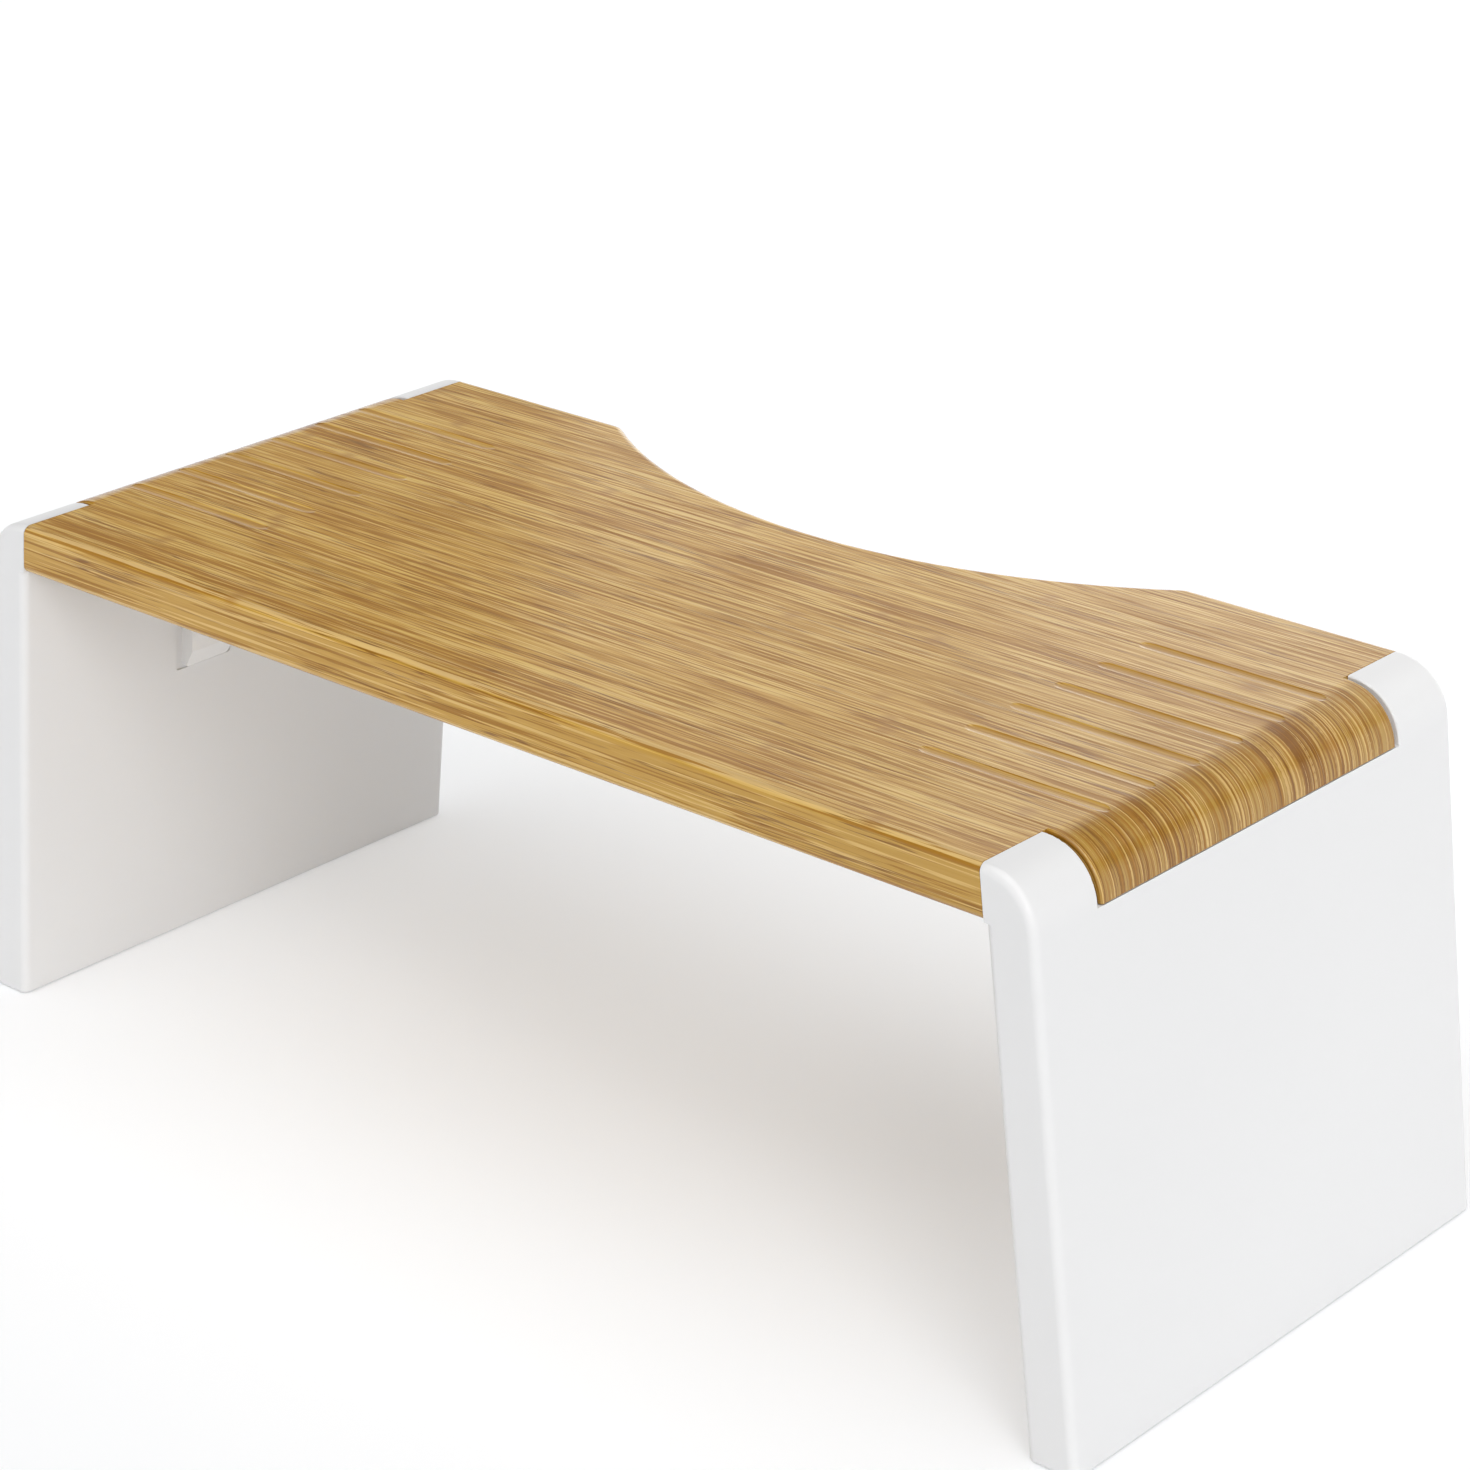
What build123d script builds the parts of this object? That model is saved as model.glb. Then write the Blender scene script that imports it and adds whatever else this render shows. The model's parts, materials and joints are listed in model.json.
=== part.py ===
from build123d import *
import math
import os

# Folding footstool: a bamboo top board on two splayed panel legs that hinge inwards under it.
# X runs along the board, Y from front to back (the curved cut-out is at the back), Z up.
# The origin is on the floor, below the middle of the board. All lengths in millimetres.

# The whole stool
stool_height = 178.0
board_length = 401.8  # between the places where the two rounded ends start
board_depth = 202.0
board_thickness = 16.7
end_radius = 17.8  # of the board's rounded ends and of the legs' corners beside them
leg_thickness = 17.2
splay_angle = 6.6  # of each leg from upright, in degrees
edge_radius = 2.8  # along the outer edges of the board and the legs
tongue_edge = 1.0  # smaller rounding, along the sides of the tongues
soft_edge = 0.6  # smallest rounding, on the legs beside the tongues and at the bottom

# Joint between board and legs
ear_width = 27.8  # corner of a leg, beside the board's rounded tongue
ear_gap = 1.7  # between such a corner and the tongue
stop_gap = 0.2  # between a leg's inner face and the board's end that stops it
tongue_gap = 0.4  # between the tongue's underside and the leg's top edge

# Cut-out in the back edge, one arc with rounded corners
cutout_width = 242.0
cutout_depth = 38.3
cutout_corner_radius = 6.0

# Round-bottomed grooves on top, at both ends of the board
groove_count = 6
groove_pitch = 20.9
groove_shift = 1.8  # of the whole set, towards the back
groove_width = 5.0
groove_depth = 0.4
groove_length = 62.6  # inwards from where the rounded end starts
groove_run_in = 3.5  # over which the inner end slopes down to the full depth

# Hinges, two to each leg
hinge_offset = 21.5  # from the middle of the board to the middle of a hinge, along Y
leaf_width = 19.0
leaf_thickness = 5.4
leaf_length = 52.0  # from the pin's axis
leaf_seat_depth = 0.8  # of the pockets that the leaves lie in
leaf_side_margin = 3.0  # between a leaf and the sides of its pocket
leaf_end_margin = 1.2
leaf_nose_run = 7.0  # sloping end of a leaf, along it
leaf_nose_drop = 3.0  # and across it
leaf_corner_radius = 1.2
fold_gap = 0.8  # between the two leaves of a hinge when folded
barrel_clearance = 0.4  # round the knuckles
knuckle_gap = 0.3  # between neighbouring knuckles
pin_radius = 2.0
pin_running_clearance = 0.05
pin_end_chamfer = 0.4

# Countersunk wood screws, two in each leaf
screw_places = (17.0, 36.0)  # from the pin's axis
screw_shank_radius = 1.75
screw_head_radius = 3.5
screw_length = 14.5
screw_tip_length = 4.0
screw_hole_radius = 2.0
screw_fit = 0.05  # round the head and in the pilot holes
screw_recess_length = 3.8
screw_recess_width = 0.9
screw_recess_depth = 1.1

# Rubber feet, two under each leg, set into its lower edge
foot_length = 38.0
foot_width = 8.0
foot_thickness = 2.2
foot_proud = 0.5
foot_inset = 16.0  # from the leg's front or back face to the foot
foot_fit = 0.15
foot_edge_radius = 0.4

overrun = 5.0  # by which cuts run past the faces that they open

# Places worked out from the sizes above
splay = math.radians(splay_angle)
half_length = board_length / 2
half_depth = board_depth / 2
underside = stool_height - board_thickness
round_height = stool_height - end_radius
leg_bottom = foot_proud
leg_shoulder = underside - tongue_gap
tongue_half_width = half_depth - ear_width - ear_gap


def outer_face_x(height):
    """Where the right leg's outer face is at a height; it touches the rounded end's circle."""
    return half_length + (end_radius - (height - round_height) * math.sin(splay)) / math.cos(splay)


def inner_face_x(height):
    """Where the right leg's inner face is at a height."""
    return outer_face_x(height) - leg_thickness / math.cos(splay)


def board_end_x(height):
    """Where the right end of the board is at a height, beside a leg's corner."""
    return inner_face_x(height) - stop_gap / math.cos(splay)


# The pin's axis is as far from the board's underside as from the leg's inner face
leaf_face = fold_gap / 2
leaf_back = leaf_face + leaf_thickness
axis_distance = leaf_back - leaf_seat_depth
barrel_radius = axis_distance - barrel_clearance
plate_start = barrel_radius + barrel_clearance
axis_height = underside - axis_distance
axis_x = inner_face_x(axis_height) - axis_distance / math.cos(splay)
knuckle_width = (leaf_width - 2 * knuckle_gap) / 3
knuckle_step = knuckle_width + knuckle_gap
pilot_depth = screw_length + screw_fit - leaf_thickness
down_the_leg = (math.sin(splay), 0, -math.cos(splay))
out_of_the_leg = (math.cos(splay), 0, math.sin(splay))
foot_x = (inner_face_x(leg_bottom) + outer_face_x(leg_bottom)) / 2
foot_y = half_depth - foot_inset - foot_length / 2
foot_places = ((foot_x, -foot_y), (foot_x, foot_y))
hinge_middles = {"front": -hinge_offset, "back": hinge_offset}


def leg_hinge_plane(y):
    """Frame of a right leg leaf at its pin: X down the leg, Y out to the leg's inner face."""
    return Plane(origin=(axis_x, y, axis_height), x_dir=down_the_leg, z_dir=(0, -1, 0))


def board_hinge_plane(y):
    """Frame of a right board leaf at its pin: X inwards along the board, Y up to its underside."""
    return Plane(origin=(axis_x, y, axis_height), x_dir=(-1, 0, 0), z_dir=(0, 1, 0))


def surface_plane(hinge_plane, along, distance):
    """A plane along a leaf, at a distance from the pin; its Z points away from the wood."""
    origin = hinge_plane.from_local_coords(Vector(along, distance, 0))
    return Plane(origin=origin, x_dir=hinge_plane.x_dir, z_dir=-hinge_plane.y_dir)


def write_part(part, name):
    part.label = name
    export_step(part, f"parts/{name}.step")


def left_of(part):
    """The left-hand copy of a right-hand piece."""
    with BuildPart() as left:
        mirror(part, about=Plane.YZ)
    return left.part


def hinge_leaf(hinge_plane, knuckle_shifts):
    """One leaf: a plate with a sloping end, its knuckles round the pin, and its screw holes."""
    along = Axis(hinge_plane.origin, hinge_plane.x_dir)
    across = Axis(hinge_plane.origin, hinge_plane.y_dir)
    with BuildPart() as leaf:
        with BuildSketch(hinge_plane):
            with BuildLine():
                Polyline(
                    (plate_start, leaf_face),
                    (leaf_length - leaf_nose_run, leaf_face),
                    (leaf_length, leaf_face + leaf_nose_drop),
                    (leaf_length, leaf_back),
                    (plate_start, leaf_back),
                    close=True,
                )
            make_face()
        extrude(amount=leaf_width / 2, both=True)
        fillet(leaf.edges().filter_by(across).group_by(along)[-1], radius=leaf_corner_radius)
        for shift in knuckle_shifts:
            with BuildSketch(hinge_plane.offset(shift)):
                Circle(barrel_radius)
                with BuildLine():
                    Polyline(
                        (0, leaf_face),
                        (2 * plate_start, leaf_face),
                        (2 * plate_start, barrel_radius),
                        (0, barrel_radius),
                        close=True,
                    )
                make_face()
            extrude(amount=knuckle_width / 2, both=True)
        with BuildSketch(hinge_plane):
            Circle(pin_radius + pin_running_clearance)
        extrude(amount=leaf_width, both=True, mode=Mode.SUBTRACT)
        for place in screw_places:
            with Locations(surface_plane(hinge_plane, place, leaf_face)):
                CounterSinkHole(
                    radius=screw_hole_radius,
                    counter_sink_radius=screw_head_radius + screw_fit,
                    depth=leaf_thickness,
                    counter_sink_angle=90,
                )
    return leaf.part


def leaf_pockets(hinge_plane_at):
    """What is cut out of the wood for the two right-hand leaves: pockets and pilot holes."""
    pocket_start = plate_start - leaf_end_margin
    pocket_end = leaf_length + leaf_end_margin
    with BuildPart() as pockets:
        for y in hinge_middles.values():
            middle = surface_plane(hinge_plane_at(y), (pocket_start + pocket_end) / 2, leaf_back)
            with BuildSketch(middle):
                RectangleRounded(
                    pocket_end - pocket_start,
                    leaf_width + 2 * leaf_side_margin,
                    leaf_corner_radius,
                )
            extrude(amount=leaf_seat_depth + overrun)
            for place in screw_places:
                with BuildSketch(surface_plane(hinge_plane_at(y), place, leaf_back)):
                    Circle(screw_shank_radius + screw_fit)
                extrude(amount=-pilot_depth)
    return pockets.part


def leg_outline(leg):
    """Edges of a right leg's outer face and rounded corners that run along it, front to back."""
    straight = leg.edges().filter_by(Axis((0, 0, 0), down_the_leg))
    round_edges = leg.edges().filter_by(GeomType.CIRCLE)
    outline = straight.group_by(Axis((0, 0, 0), out_of_the_leg))[-1]
    outline += round_edges.group_by(SortBy.RADIUS)[-1]
    return outline.group_by(Axis.Y)


os.makedirs("parts", exist_ok=True)

board_pockets = leaf_pockets(board_hinge_plane)
leg_pockets = leaf_pockets(leg_hinge_plane)

# Cuts for the right-hand grooves, by a round cutter that dips in and leaves over the rounded end
with BuildPart() as groove_cuts:
    cutter_radius = (groove_width**2 / 4 + groove_depth**2) / (2 * groove_depth)
    cutter_height = stool_height + cutter_radius - groove_depth
    dip_radius = (groove_run_in**2 + groove_depth**2) / (2 * groove_depth)
    dip_angle = 2 * math.degrees(math.acos(1 - groove_depth / dip_radius))
    full_depth_x = half_length - groove_length + groove_run_in
    first_groove_y = groove_shift - groove_pitch * (groove_count - 1) / 2
    for number in range(groove_count):
        with BuildLine(Plane.XZ.offset(-first_groove_y - number * groove_pitch)) as cutter_path:
            dip = CenterArc(
                (full_depth_x, cutter_height + dip_radius), dip_radius, -90 - dip_angle, dip_angle
            )
            Line(dip @ 1, (half_length + end_radius, cutter_height))
        with BuildSketch(Plane(origin=dip @ 0, z_dir=dip % 0)):
            Circle(cutter_radius)
        sweep(path=cutter_path.line)

# Top board: laminated bamboo, with a rounded tongue at each end between the corners of a leg
with BuildPart() as top_board:
    with BuildSketch(Plane.XZ) as side_view:
        with Locations((0, stool_height)):
            Rectangle(
                2 * (half_length + end_radius),
                2 * (board_thickness + end_radius),
                align=(Align.CENTER, Align.MAX),
            )
        fillet(side_view.vertices().group_by(Axis.Y)[-1], radius=end_radius)
        with Locations((0, underside)):
            Rectangle(
                2 * (half_length + end_radius + overrun),
                2 * (board_thickness + end_radius),
                align=(Align.CENTER, Align.MAX),
                mode=Mode.SUBTRACT,
            )
    extrude(amount=half_depth, both=True)

    # Each corner is cut back to a sloping end that the leg's corner comes against
    for facing in (-1, 1):
        with BuildSketch(Plane.XZ.offset(facing * (half_depth + overrun))):
            with BuildLine():
                Polyline(
                    (board_end_x(stool_height + overrun), stool_height + overrun),
                    (half_length + end_radius + overrun, stool_height + overrun),
                    (half_length + end_radius + overrun, underside - overrun),
                    (board_end_x(underside - overrun), underside - overrun),
                    close=True,
                )
            make_face()
            mirror(about=Plane.YZ)
        extrude(amount=-facing * (ear_width + ear_gap + overrun), mode=Mode.SUBTRACT)

    # The cut-out in the back edge
    with BuildSketch(Plane.XY.offset(underside - overrun)):
        with BuildLine():
            arc = ThreePointArc(
                (-cutout_width / 2, half_depth),
                (0, half_depth - cutout_depth),
                (cutout_width / 2, half_depth),
            )
            Polyline(
                arc @ 1,
                (cutout_width / 2, half_depth + overrun),
                (-cutout_width / 2, half_depth + overrun),
                arc @ 0,
            )
        make_face()
    extrude(amount=board_thickness + 2 * overrun, mode=Mode.SUBTRACT)
    fillet(
        top_board.edges().filter_by(Axis.Z).group_by(Axis.Y)[-1],
        radius=cutout_corner_radius,
    )

    # Rounded edges: front, back and cut-out, above and below
    straight_edges = top_board.edges().filter_by(Axis.X)
    curved_edges = top_board.edges().filter_by(GeomType.CIRCLE)
    fillet(
        straight_edges.group_by(Axis.Y)[0]
        + straight_edges.group_by(Axis.Y)[-1]
        + curved_edges.group_by(Axis.Z)[0]
        + curved_edges.group_by(Axis.Z)[-1],
        radius=edge_radius,
    )

    # Softly rounded sides of the tongues
    tongue_arcs = top_board.edges().filter_by(GeomType.CIRCLE).filter_by(Plane.XZ)
    fillet(
        tongue_arcs.group_by(SortBy.RADIUS)[-1],
        radius=tongue_edge,
    )

    # Grooves at both ends
    add(groove_cuts.part, mode=Mode.SUBTRACT)
    mirror(groove_cuts.part, about=Plane.YZ, mode=Mode.SUBTRACT)

    # Seats for the hinge leaves below
    add(board_pockets, mode=Mode.SUBTRACT)
    mirror(board_pockets, about=Plane.YZ, mode=Mode.SUBTRACT)

write_part(top_board.part, "top_board")

# Right leg: one flat panel whose top is notched for the tongue, leaving a rounded corner each side
with BuildPart() as right_leg:
    with BuildSketch(Plane.XZ):
        with BuildLine():
            Polyline(
                (inner_face_x(leg_bottom), leg_bottom),
                (outer_face_x(leg_bottom), leg_bottom),
                (outer_face_x(underside), underside),
                (inner_face_x(underside), underside),
                close=True,
            )
        make_face()
    extrude(amount=half_depth, both=True)
    inner_face = right_leg.faces().sort_by(Axis((0, 0, 0), out_of_the_leg))[0]
    fillet(inner_face.edges().filter_by(Axis((0, 0, 0), down_the_leg)), radius=edge_radius)

    # The corners, rounded on the outside to follow the tongue
    for facing in (-1, 1):
        with BuildSketch(Plane.XZ.offset(facing * half_depth)):
            with BuildLine():
                rounding = CenterArc(
                    (half_length, round_height), end_radius, splay_angle, 90 - splay_angle
                )
                Polyline(
                    rounding @ 1,
                    (inner_face_x(stool_height), stool_height),
                    (inner_face_x(underside), underside),
                    (outer_face_x(underside), underside),
                    rounding @ 0,
                )
            make_face()
        extrude(amount=-facing * ear_width)

    # The notch goes a little deeper than the board's underside, to clear the tongue
    with BuildSketch(Plane.XY.offset(leg_shoulder)):
        with Locations((half_length, 0)):
            Rectangle(4 * leg_thickness, board_depth - 2 * ear_width)
    extrude(amount=board_thickness, mode=Mode.SUBTRACT)

    # Rounded edges: the corners beside the tongue softly, then the outline front and back
    beside_the_tongue = leg_outline(right_leg)
    fillet(beside_the_tongue[1] + beside_the_tongue[-2], radius=soft_edge)
    outside = leg_outline(right_leg)
    fillet(outside[0] + outside[-1], radius=edge_radius)
    fillet(right_leg.edges().group_by(Axis.Z)[0], radius=soft_edge)

    # Seats for the hinge leaves on the inner face, and for the feet in the lower edge
    add(leg_pockets, mode=Mode.SUBTRACT)
    with BuildSketch(Plane.XY.offset(foot_thickness)):
        with Locations(*foot_places):
            SlotOverall(foot_length + 2 * foot_fit, foot_width + 2 * foot_fit, rotation=90)
    extrude(amount=-foot_thickness - overrun, mode=Mode.SUBTRACT)

write_part(right_leg.part, "right_leg")
write_part(left_of(right_leg.part), "left_leg")

# Hinge leaves: the board's have the two outer knuckles, the legs' the one between
for place, y in hinge_middles.items():
    board_leaf = hinge_leaf(board_hinge_plane(y), (-knuckle_step, knuckle_step))
    leg_leaf = hinge_leaf(leg_hinge_plane(y), (0,))
    with BuildPart() as hinge_pin:
        with BuildSketch(board_hinge_plane(y).offset(-leaf_width / 2)):
            Circle(pin_radius)
        extrude(amount=leaf_width)
        chamfer(hinge_pin.edges().filter_by(GeomType.CIRCLE), length=pin_end_chamfer)
    for part, name in (
        (board_leaf, "board_leaf"),
        (leg_leaf, "leg_leaf"),
        (hinge_pin.part, "hinge_pin"),
    ):
        write_part(part, f"right_{place}_{name}")
        write_part(left_of(part), f"left_{place}_{name}")

# Countersunk screws with a cross recess, pointed below
with BuildPart() as screw:
    with BuildSketch(Plane.XZ):
        with BuildLine():
            Polyline(
                (0, 0),
                (screw_head_radius, 0),
                (screw_shank_radius, -(screw_head_radius - screw_shank_radius)),
                (screw_shank_radius, screw_tip_length - screw_length),
                (0, -screw_length),
                close=True,
            )
        make_face()
    revolve(axis=Axis.Z)
    with BuildSketch():
        Rectangle(screw_recess_length, screw_recess_width)
        Rectangle(screw_recess_width, screw_recess_length)
    extrude(amount=-screw_recess_depth, mode=Mode.SUBTRACT)


def leaf_screws(hinge_plane_at):
    """The screws of the two right-hand leaves on the board or on the leg."""
    with BuildPart() as screws:
        for y in hinge_middles.values():
            for place in screw_places:
                with Locations(surface_plane(hinge_plane_at(y), place, leaf_face)):
                    add(screw.part)
    return screws.part


right_board_screws = leaf_screws(board_hinge_plane)
with BuildPart() as board_screws:
    add(right_board_screws)
    mirror(right_board_screws, about=Plane.YZ)

right_leg_screws = leaf_screws(leg_hinge_plane)
write_part(board_screws.part, "board_screws")
write_part(right_leg_screws, "right_leg_screws")
write_part(left_of(right_leg_screws), "left_leg_screws")

# Rubber feet
for place, middle in zip(("front", "back"), foot_places):
    with BuildPart() as foot:
        with BuildSketch():
            with Locations(middle):
                SlotOverall(foot_length, foot_width, rotation=90)
        extrude(amount=foot_thickness)
        fillet(foot.edges().group_by(Axis.Z)[0], radius=foot_edge_radius)
    write_part(foot.part, f"right_{place}_foot")
    write_part(left_of(foot.part), f"left_{place}_foot")
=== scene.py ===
import json
import math

import bpy
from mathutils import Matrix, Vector

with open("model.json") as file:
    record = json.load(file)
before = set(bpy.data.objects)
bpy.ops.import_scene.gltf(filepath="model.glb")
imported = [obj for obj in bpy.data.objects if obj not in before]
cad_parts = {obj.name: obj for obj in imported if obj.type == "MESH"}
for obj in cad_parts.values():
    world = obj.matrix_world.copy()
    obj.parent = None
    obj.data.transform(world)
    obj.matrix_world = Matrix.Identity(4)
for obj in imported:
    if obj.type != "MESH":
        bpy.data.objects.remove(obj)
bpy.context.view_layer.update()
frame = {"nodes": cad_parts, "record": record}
MM = 0.001

# Sizes of the stool that its finishes follow, in millimetres
stool_height = 178.0
board_depth = 202.0
half_length = 200.9  # from the middle to where a rounded end starts
end_radius = 17.8
groove_length = 62.6  # inwards from there
grooves_reach = 60.0  # to either side of the middle
groove_depth = 0.4
edge_rounding = 2.8

# Bamboo strips that the board is glued up from
strip_width = 6.3
broad_strip_width = 2.7 * strip_width
knuckle_spacing = 260.0
knuckle_length = 5.0

# Colours of the wood: its tones from dark to pale, then those of its details
wood_tones = [
    (0.12, (0.345, 0.149, 0.009)),
    (0.38, (0.472, 0.242, 0.026)),
    (0.62, (0.592, 0.339, 0.056)),
    (0.90, (0.705, 0.464, 0.115)),
]
golden_strip = (0.54, 0.314, 0.042)
outer_strip = (0.51, 0.303, 0.045)
# painted highlight along the rounded top edge of the board
rounded_edge_highlight = (0.66, 0.46, 0.21)
right_end_tint = (0.93, 0.93, 0.93)
# painted shade on the rounded ends
rounded_end_painted_shade = (0.65, 0.58, 0.42)
pale_fibre = (0.725, 0.488, 0.165)
dark_fibre = (0.315, 0.138, 0.010)
bold_fibre = (0.190, 0.070, 0.002)
knuckle_brown = (0.350, 0.155, 0.022)
groove_brown = (0.46, 0.27, 0.09)

# Where the photograph was taken from, in degrees and millimetres
camera_azimuth = 41.988
camera_elevation = 23.128
camera_roll = -0.479
camera_distance = 1304.8
camera_aside = 15.75
camera_above = 34.94
aim_height = 89.0
photo_width = 1470.0
focal_pixels = 4051.5

# Distant lamps: azimuth and elevation that each shines from, its strength and its width, angles in degrees
suns = {
    "key": (57.0, 31.0, 0.86, 24.0),
    "overhead": (20.0, 78.0, 2.2, 70.0),
    "fill": (58.0, 14.0, 0.50, 64.0),
}

# Softboxes behind the stool: azimuth, elevation and brightness, then their distance and size in metres
softboxes = {
    "softbox": (179.0, 25.0, 0.55),
    "left_softbox": (191.0, 25.0, 0.58),
}
softbox_distance = 1.7
softbox_width = 2.1
softbox_height = 1.25

# Walls and floor
wall_brightness = 1.0
wall_fade = (0.15, 0.40)  # sines of the elevations between which the walls fade
floor_size = 12.0
floor_lift = 0.36  # how much the camera sees of pure white in place of the paper


class Value:
    """A number, vector or colour that varies over a surface, so that it can be written in sums."""

    def __init__(self, finish, socket):
        self.finish = finish
        self.socket = socket

    def __add__(self, other):
        return self.finish.maths("ADD", self, other)

    def __sub__(self, other):
        return self.finish.maths("SUBTRACT", self, other)

    def __rsub__(self, other):
        return self.finish.maths("SUBTRACT", other, self)

    def __mul__(self, other):
        return self.finish.maths("MULTIPLY", self, other)

    def __truediv__(self, other):
        return self.finish.maths("DIVIDE", self, other)

    __radd__ = __add__
    __rmul__ = __mul__


class Finish:
    """The nodes of one material, or of the world, built up from values."""

    def __init__(self, owner):
        owner.use_nodes = True
        self.owner = owner
        self.tree = owner.node_tree
        self.tree.nodes.clear()

    def node(self, kind, settings=None, inputs=None, output=0):
        """Adds a node with its settings, then the value or link of each input."""
        made = self.tree.nodes.new("ShaderNode" + kind)
        for key, setting in (settings or {}).items():
            if key == "stops":
                self.set_stops(made.color_ramp, setting)
            else:
                setattr(made, key, setting)
        for socket, value in (inputs or {}).items():
            if isinstance(value, Value):
                self.tree.links.new(value.socket, made.inputs[socket])
            else:
                made.inputs[socket].default_value = value
        return Value(self, made.outputs[output]) if made.outputs else made

    def set_stops(self, ramp, stops):
        while len(ramp.elements) < len(stops):
            ramp.elements.new(1.0)
        for element, (place, colour) in zip(ramp.elements, stops):
            element.position = place
            element.color = (*colour, 1.0)

    def maths(self, operation, first, second=0.0):
        return self.node("Math", {"operation": operation}, {0: first, 1: second})

    def smooth_step(self, value, low, high):
        """Rises from 0 to 1 as the value goes from low to high."""
        settings = {"interpolation_type": "SMOOTHSTEP"}
        return self.node("MapRange", settings, {"Value": value, "From Min": low, "From Max": high})

    def place(self):
        """Where a point of the piece is, in millimetres: x, y and z."""
        spot = self.node("TexCoord", output="Object")
        split = self.node("SeparateXYZ", inputs={"Vector": spot}).socket.node
        return [Value(self, split.outputs[axis]) * (1 / MM) for axis in "XYZ"]

    def vector(self, x, y, z):
        return self.node("CombineXYZ", inputs={"X": x, "Y": y, "Z": z})

    def noise(self, vector, detail=2.0, roughness=0.5):
        inputs = {"Vector": vector, "Scale": 1.0, "Detail": detail, "Roughness": roughness}
        return self.node("TexNoise", inputs=inputs)

    def lot(self, number):
        """A random share for each whole number, the same at every run."""
        return self.node("TexWhiteNoise", {"noise_dimensions": "1D"}, {"W": number})

    def mix(self, share, first, second, blend="MIX"):
        """A colour that goes from the first to the second with the share."""
        mixer = self.tree.nodes.new("ShaderNodeMix")
        mixer.data_type = "RGBA"
        mixer.blend_type = blend
        for socket, value in ((0, share), (6, first), (7, second)):
            if isinstance(value, Value):
                self.tree.links.new(value.socket, mixer.inputs[socket])
            elif socket == 0:
                mixer.inputs[socket].default_value = value
            else:
                mixer.inputs[socket].default_value = (*value, 1.0)
        return Value(self, mixer.outputs[2])

    def bump(self, height, strength, distance):
        return self.node("Bump", inputs={"Height": height, "Strength": strength, "Distance": distance})

    def close(self, **inputs):
        """Joins the surface values to the finished material."""
        named = {key.replace("_", " "): value for key, value in inputs.items()}
        surface = self.node("BsdfPrincipled", inputs=named)
        self.node("OutputMaterial", inputs={"Surface": surface})
        return self.owner


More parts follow.
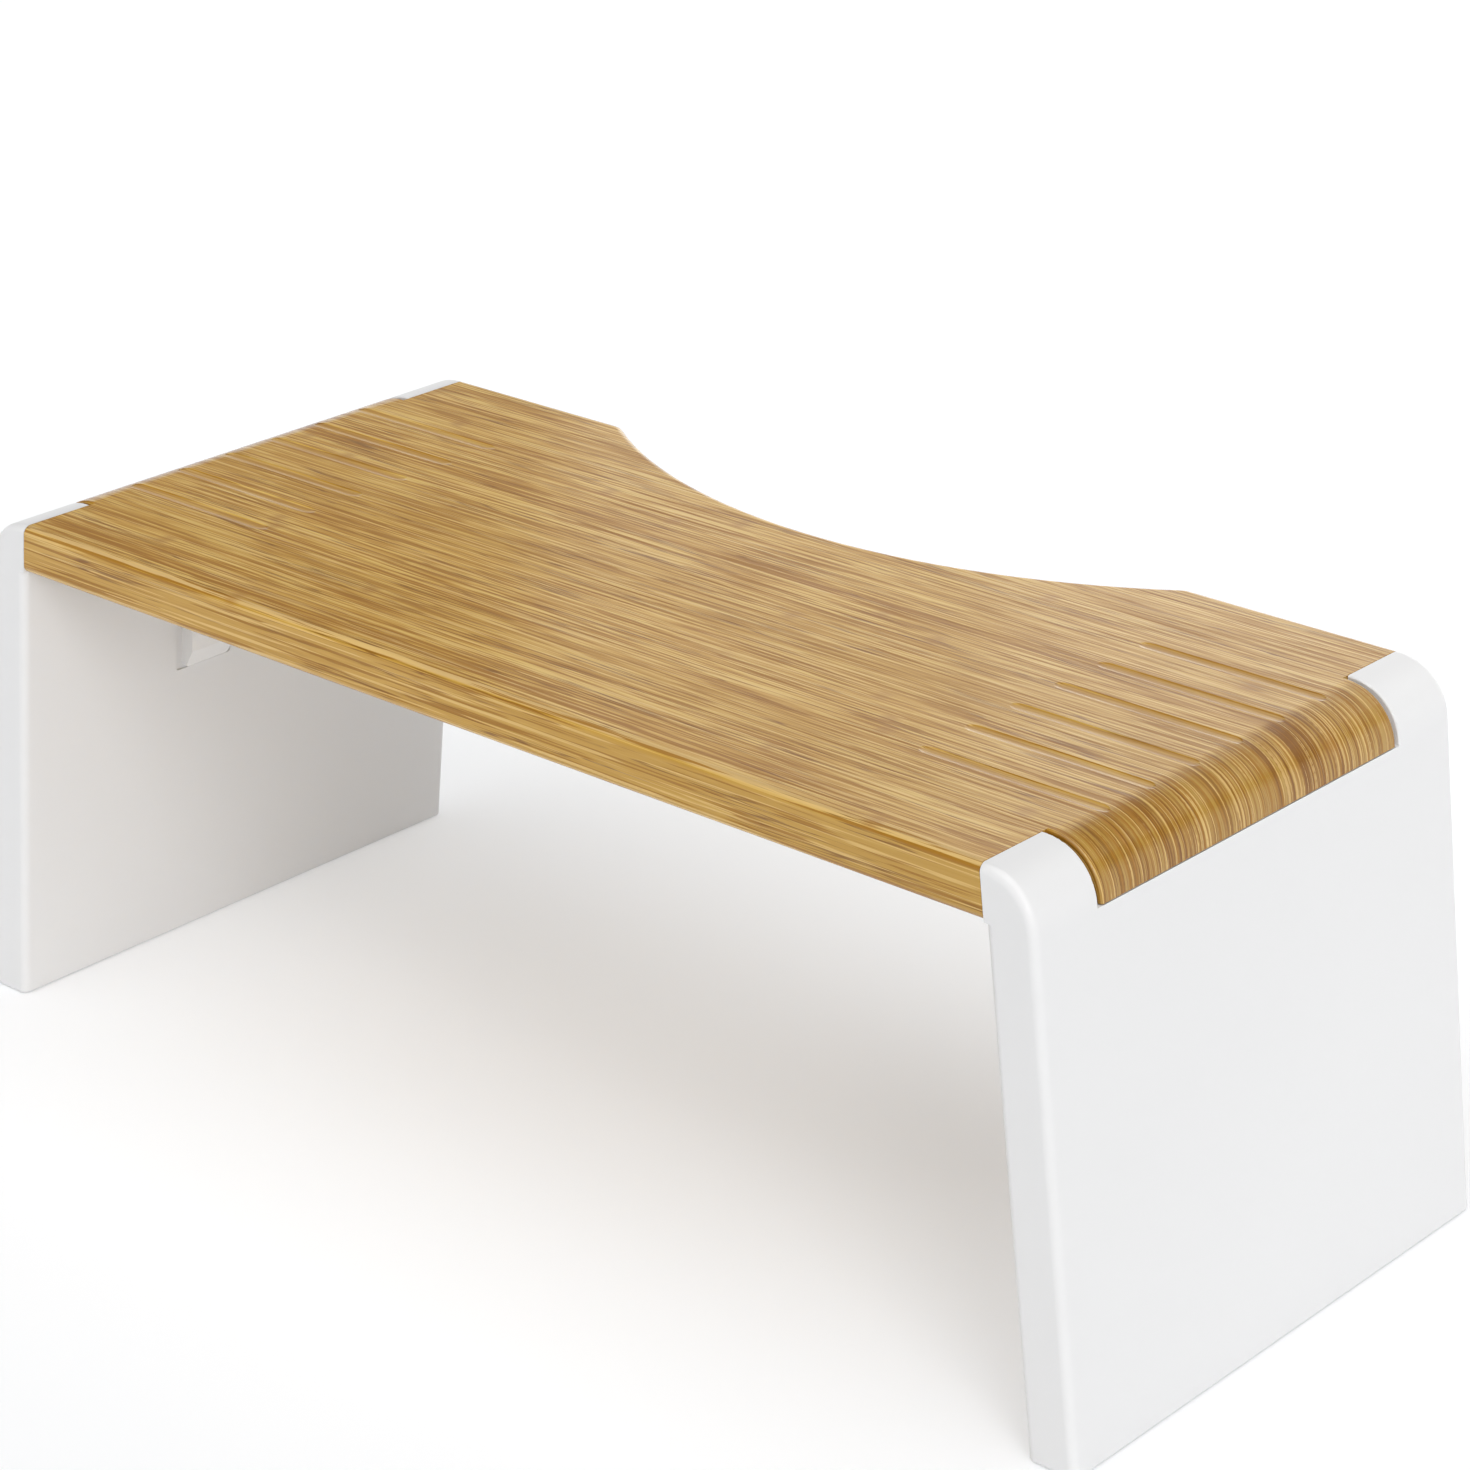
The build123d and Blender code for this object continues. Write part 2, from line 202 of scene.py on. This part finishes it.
def bamboo():
    """Varnished bamboo strips on edge, glued side by side, that run along the board and over its ends."""
    wood = Finish(bpy.data.materials.new("bamboo"))
    x, y, z = wood.place()
    beyond = wood.maths("MAXIMUM", wood.maths("ABSOLUTE", x) - half_length, 0.0)
    rise = z - (stool_height - end_radius)
    depth = end_radius - wood.maths("SQRT", beyond * beyond + rise * rise)
    flat_part = wood.maths("MINIMUM", wood.maths("ABSOLUTE", x), half_length)
    along = wood.maths("SIGN", x) * (flat_part + end_radius * wood.maths("ARCTAN2", beyond, rise))

    def grain(length, width, start, detail=2.0, roughness=0.5):
        """Noise drawn out along the strips: how long and how wide its marks are."""
        spot = wood.vector(along / length + start, y / width + start, depth / width)
        return wood.noise(spot, detail=detail, roughness=roughness)

    # Each strip has its own tone, and its own place for the knuckles of the cane
    strip = wood.maths("FLOOR", y / strip_width)
    tone = wood.lot(strip)
    broad_tone = wood.lot(wood.maths("FLOOR", y / broad_strip_width + 0.3) + 77.5)
    shifted = along + wood.lot(strip + 1000.5) * knuckle_spacing
    from_knuckle = wood.maths("PINGPONG", shifted, knuckle_spacing / 2)
    knuckle = (1 - wood.smooth_step(from_knuckle, 0.0, knuckle_length)) * wood.smooth_step(tone, 0.45, 0.6)

    # Soft streaks and clouds of colour, their contrast lowered towards the right end of the top as painted
    # sheen that washes them out
    streaks = grain(length=110, width=2.3, start=0.0, detail=4, roughness=0.68)
    clouds = wood.noise(wood.vector(along / 120, y / 34, depth / 34), detail=2)
    hair = grain(length=50, width=1.0, start=5.1, roughness=0.6)
    end = wood.smooth_step(beyond, 0.0, 5.0)
    bands = (tone - 0.5) * 0.42 + (broad_tone - 0.5) * (0.18 + end * 0.3)
    contrast = bands + (streaks - 0.5) * 1.45 + (hair - 0.5) * 3.1
    from_middle = wood.maths("ABSOLUTE", y)
    outermost = wood.smooth_step(from_middle, board_depth / 2 - 4.0, board_depth / 2 - 2.5)
    # Painted sheen: the streaks are flattened towards the right end of the top
    painted_sheen_calm = wood.smooth_step(x, 0.0, 150.0) * (1 - end)
    strength = 1 + end * 0.3 - painted_sheen_calm * 0.22 - outermost * 0.6
    shade = 0.5 + contrast * strength + (clouds - 0.5) * 0.28
    colour = wood.node("ValToRGB", {"stops": wood_tones}, {"Fac": shade})
    colour = wood.mix(wood.smooth_step(broad_tone, 0.55, 0.95) * 0.3, colour, golden_strip)

    # The outermost strips, which show their sides, are paler; along their rounded top edge a painted
    # highlight makes them paler still
    colour = wood.mix(outermost * 0.5, colour, outer_strip)
    edge = board_depth / 2 - edge_rounding
    edge_highlight = wood.smooth_step(from_middle, edge - 0.2, edge + 0.4)
    edge_highlight = edge_highlight * wood.smooth_step(z, stool_height - 1.2, stool_height - 0.6)
    colour = wood.mix(edge_highlight * 0.75, colour, rounded_edge_highlight)

    # The colour is a little darker towards the right end of the board, and painted shade darkens the
    # rounded ends
    colour = wood.mix(wood.smooth_step(x, -20.0, 190.0), colour, right_end_tint, blend="MULTIPLY")
    colour = wood.mix(wood.smooth_step(beyond, 0.0, 4.0), colour, rounded_end_painted_shade, blend="MULTIPLY")

    # Fibres: fine dark and pale lines, and a few bolder ones
    fine = grain(length=60, width=1.05, start=11.3, roughness=0.6)
    dark_lines = wood.smooth_step(fine, 0.54, 0.59)
    pale = grain(length=85, width=1.15, start=43.7, roughness=0.6)
    pale_lines = wood.smooth_step(pale, 0.55, 0.60)
    bold = grain(length=150, width=3.0, start=71.9, detail=3, roughness=0.6)
    unbroken = wood.smooth_step(grain(length=60, width=5.0, start=23.1), 0.42, 0.56)
    bold_lines = (1 - wood.smooth_step(wood.maths("ABSOLUTE", bold - 0.55), 0.0, 0.025)) * unbroken
    colour = wood.mix(pale_lines * 0.6, colour, pale_fibre)
    colour = wood.mix(dark_lines * 0.85, colour, dark_fibre)
    colour = wood.mix(bold_lines * 0.85, colour, bold_fibre)
    colour = wood.mix(knuckle * 0.45, colour, knuckle_brown)

    # The grooves were cut last, and their bare wood is duller
    below_top = wood.smooth_step(depth, 0.12, 0.20)
    above_bottom = 1 - wood.smooth_step(depth, groove_depth + 0.05, groove_depth + 0.15)
    inner_end = half_length - groove_length
    near_ends = wood.smooth_step(wood.maths("ABSOLUTE", x), inner_end - 2.0, inner_end)
    among_grooves = 1 - wood.smooth_step(from_middle, grooves_reach, grooves_reach + 1.0)
    groove = below_top * above_bottom * near_ends * among_grooves
    colour = wood.mix(groove * 0.6, colour, groove_brown)

    # Dark wood and dark fibres take the varnish up, and the grooves hold less of it
    soaked = (1 - wood.smooth_step(shade, 0.25, 0.75)) * 0.3 + dark_lines * 0.35
    height = fine * -0.6 + streaks * 0.4
    return wood.close(
        Base_Color=colour,
        Roughness=0.5,
        Specular_IOR_Level=0.2,
        Coat_Weight=(1 - soaked) * (1 - groove * 0.5),
        Coat_Roughness=0.17,
        Normal=wood.bump(height, 0.10, 0.0004),
    )


def white_lacquer():
    """White satin-gloss lacquer, sprayed, with a faint orange peel."""
    paint = Finish(bpy.data.materials.new("white_lacquer"))
    x, y, z = paint.place()
    drift = paint.noise(paint.vector(x / 120, y / 120, z / 120), detail=1)
    peel = paint.noise(paint.vector(x / 2.2, y / 2.2, z / 2.2), detail=1)
    colour = paint.mix(drift, (0.728, 0.725, 0.724), (0.748, 0.745, 0.744))
    return paint.close(
        Base_Color=colour,
        Roughness=0.3 + (drift - 0.5) * 0.08,
        Normal=paint.bump(peel, 0.03, 0.0002),
    )


def hinge_white():
    """White moulded plastic, finely textured by its mould."""
    plastic = Finish(bpy.data.materials.new("hinge_white"))
    x, y, z = plastic.place()
    texture = plastic.noise(plastic.vector(x / 0.5, y / 0.5, z / 0.5), detail=1)
    colour = plastic.mix(texture, (0.79, 0.78, 0.77), (0.82, 0.815, 0.81))
    return plastic.close(
        Base_Color=colour, Roughness=0.42 + (texture - 0.5) * 0.1, Normal=plastic.bump(texture, 0.1, 0.0001)
    )


def screw_steel():
    """Zinc-plated steel, faintly uneven."""
    steel = Finish(bpy.data.materials.new("screw_steel"))
    x, y, z = steel.place()
    marks = steel.noise(steel.vector(x / 0.3, y / 0.3, z / 0.3), detail=2)
    colour = steel.mix(marks, (0.55, 0.55, 0.56), (0.68, 0.68, 0.70))
    return steel.close(Base_Color=colour, Metallic=1.0, Roughness=0.28 + marks * 0.15)


def foot_rubber():
    """Matt grey rubber."""
    rubber = Finish(bpy.data.materials.new("foot_rubber"))
    x, y, z = rubber.place()
    grain = rubber.noise(rubber.vector(x / 0.6, y / 0.6, z / 0.6), detail=2)
    colour = rubber.mix(grain, (0.42, 0.42, 0.42), (0.5, 0.5, 0.5))
    return rubber.close(Base_Color=colour, Roughness=0.85, Normal=rubber.bump(grain, 0.3, 0.0002))


def dress(nodes):
    """Gives every piece of the stool its finish."""
    finishes = {
        "bamboo": bamboo(),
        "white_lacquer": white_lacquer(),
        "hinge_white": hinge_white(),
        "screw_steel": screw_steel(),
        "foot_rubber": foot_rubber(),
    }
    finishes["hinge_pin"] = finishes["screw_steel"]
    slot_of = {part["node"]: part["material_slot"] for part in frame["record"]["subparts"]}
    for name, piece in nodes.items():
        piece.data.materials.clear()
        piece.data.materials.append(finishes[slot_of[name]])


def floor_paper():
    """White paper; the camera sees it a little lighter than it is, so that it ends in pure white."""
    paper = Finish(bpy.data.materials.new("studio_floor"))
    seen = paper.node("LightPath", output="Is Camera Ray")
    mirrored = paper.node("LightPath", output="Is Glossy Ray")
    seen_through = paper.node("LightPath", output="Is Transmission Ray")
    diffuse = paper.node("BsdfDiffuse", inputs={"Color": (0.955, 0.97, 0.99, 1.0)})
    white = paper.node("Emission", inputs={"Color": (1.0, 1.0, 1.0, 1.0), "Strength": 1.0})
    share = paper.maths("MAXIMUM", paper.maths("MAXIMUM", seen, mirrored), seen_through) * floor_lift
    surface = paper.node("MixShader", inputs={0: share, 1: diffuse, 2: white})
    paper.node("OutputMaterial", inputs={"Surface": surface})
    return paper.owner


def studio_walls():
    """Walls that are bright low down and fade to nothing higher up."""
    walls = Finish(bpy.data.worlds.new("studio_walls"))
    direction_seen = walls.node("TexCoord", output="Generated")
    split = walls.node("SeparateXYZ", inputs={"Vector": direction_seen}).socket.node
    brightness = (1 - walls.smooth_step(Value(walls, split.outputs["Z"]), *wall_fade)) * wall_brightness
    light = walls.node("Background", inputs={"Color": (1.0, 1.0, 1.0, 1.0), "Strength": brightness})
    walls.node("OutputWorld", inputs={"Surface": light})
    return walls.owner


def lamp(name, kind, toward, **settings):
    """A lamp that shines from a direction; an area lamp also stands at a distance."""
    data = bpy.data.lights.new(name, kind)
    distance = settings.pop("distance", 0.0)
    for key, setting in settings.items():
        setattr(data, key, setting)
    made = bpy.data.objects.new(name, data)
    bpy.context.scene.collection.objects.link(made)
    made.location = toward * distance
    made.rotation_euler = (-toward).to_track_quat("-Z", "Y").to_euler()


def studio():
    """White floor, pale walls, a key lamp on the right, one overhead, a low fill, and softboxes behind."""
    bpy.ops.mesh.primitive_plane_add(size=floor_size)
    floor = bpy.context.object
    floor.name = "studio_floor"
    floor.data.materials.append(floor_paper())

    bpy.context.scene.world = studio_walls()

    for name, (azimuth, elevation, strength, width) in suns.items():
        lamp(name, "SUN", direction(azimuth, elevation), energy=strength, angle=math.radians(width))
    for name, (azimuth, elevation, brightness) in softboxes.items():
        lamp(
            name,
            "AREA",
            direction(azimuth, elevation),
            distance=softbox_distance,
            energy=brightness * math.pi * softbox_width * softbox_height,
            shape="RECTANGLE",
            size=softbox_width,
            size_y=softbox_height,
        )


def direction(azimuth, elevation):
    """Unit vector from the stool; azimuth 0 is straight in front, 90 to its right."""
    a, e = math.radians(azimuth), math.radians(elevation)
    return Vector((math.sin(a) * math.cos(e), -math.cos(a) * math.cos(e), math.sin(e)))


def camera():
    """The camera that the photograph was taken with, at its place."""
    data = bpy.data.cameras.new("camera")
    data.sensor_width = 36.0
    data.lens = focal_pixels / photo_width * data.sensor_width
    data.clip_start, data.clip_end = 0.05, 50.0
    a, roll = math.radians(camera_azimuth), math.radians(camera_roll)
    back = direction(camera_azimuth, camera_elevation)
    level = Vector((math.cos(a), math.sin(a), 0.0))
    upright = back.cross(level)
    right = level * math.cos(roll) + upright * math.sin(roll)
    up = back.cross(right)
    eye = Vector((0.0, 0.0, aim_height)) + back * camera_distance + right * camera_aside + up * camera_above
    made = bpy.data.objects.new("camera", data)
    bpy.context.scene.collection.objects.link(made)
    made.location = eye * MM
    turn = made.matrix_world.to_3x3()
    turn.col[0], turn.col[1], turn.col[2] = right, up, back
    made.rotation_euler = turn.to_euler()
    bpy.context.scene.camera = made


bpy.ops.object.select_all(action="DESELECT")
dress(frame["nodes"])
studio()
camera()
bpy.context.scene.view_settings.view_transform = "Standard"
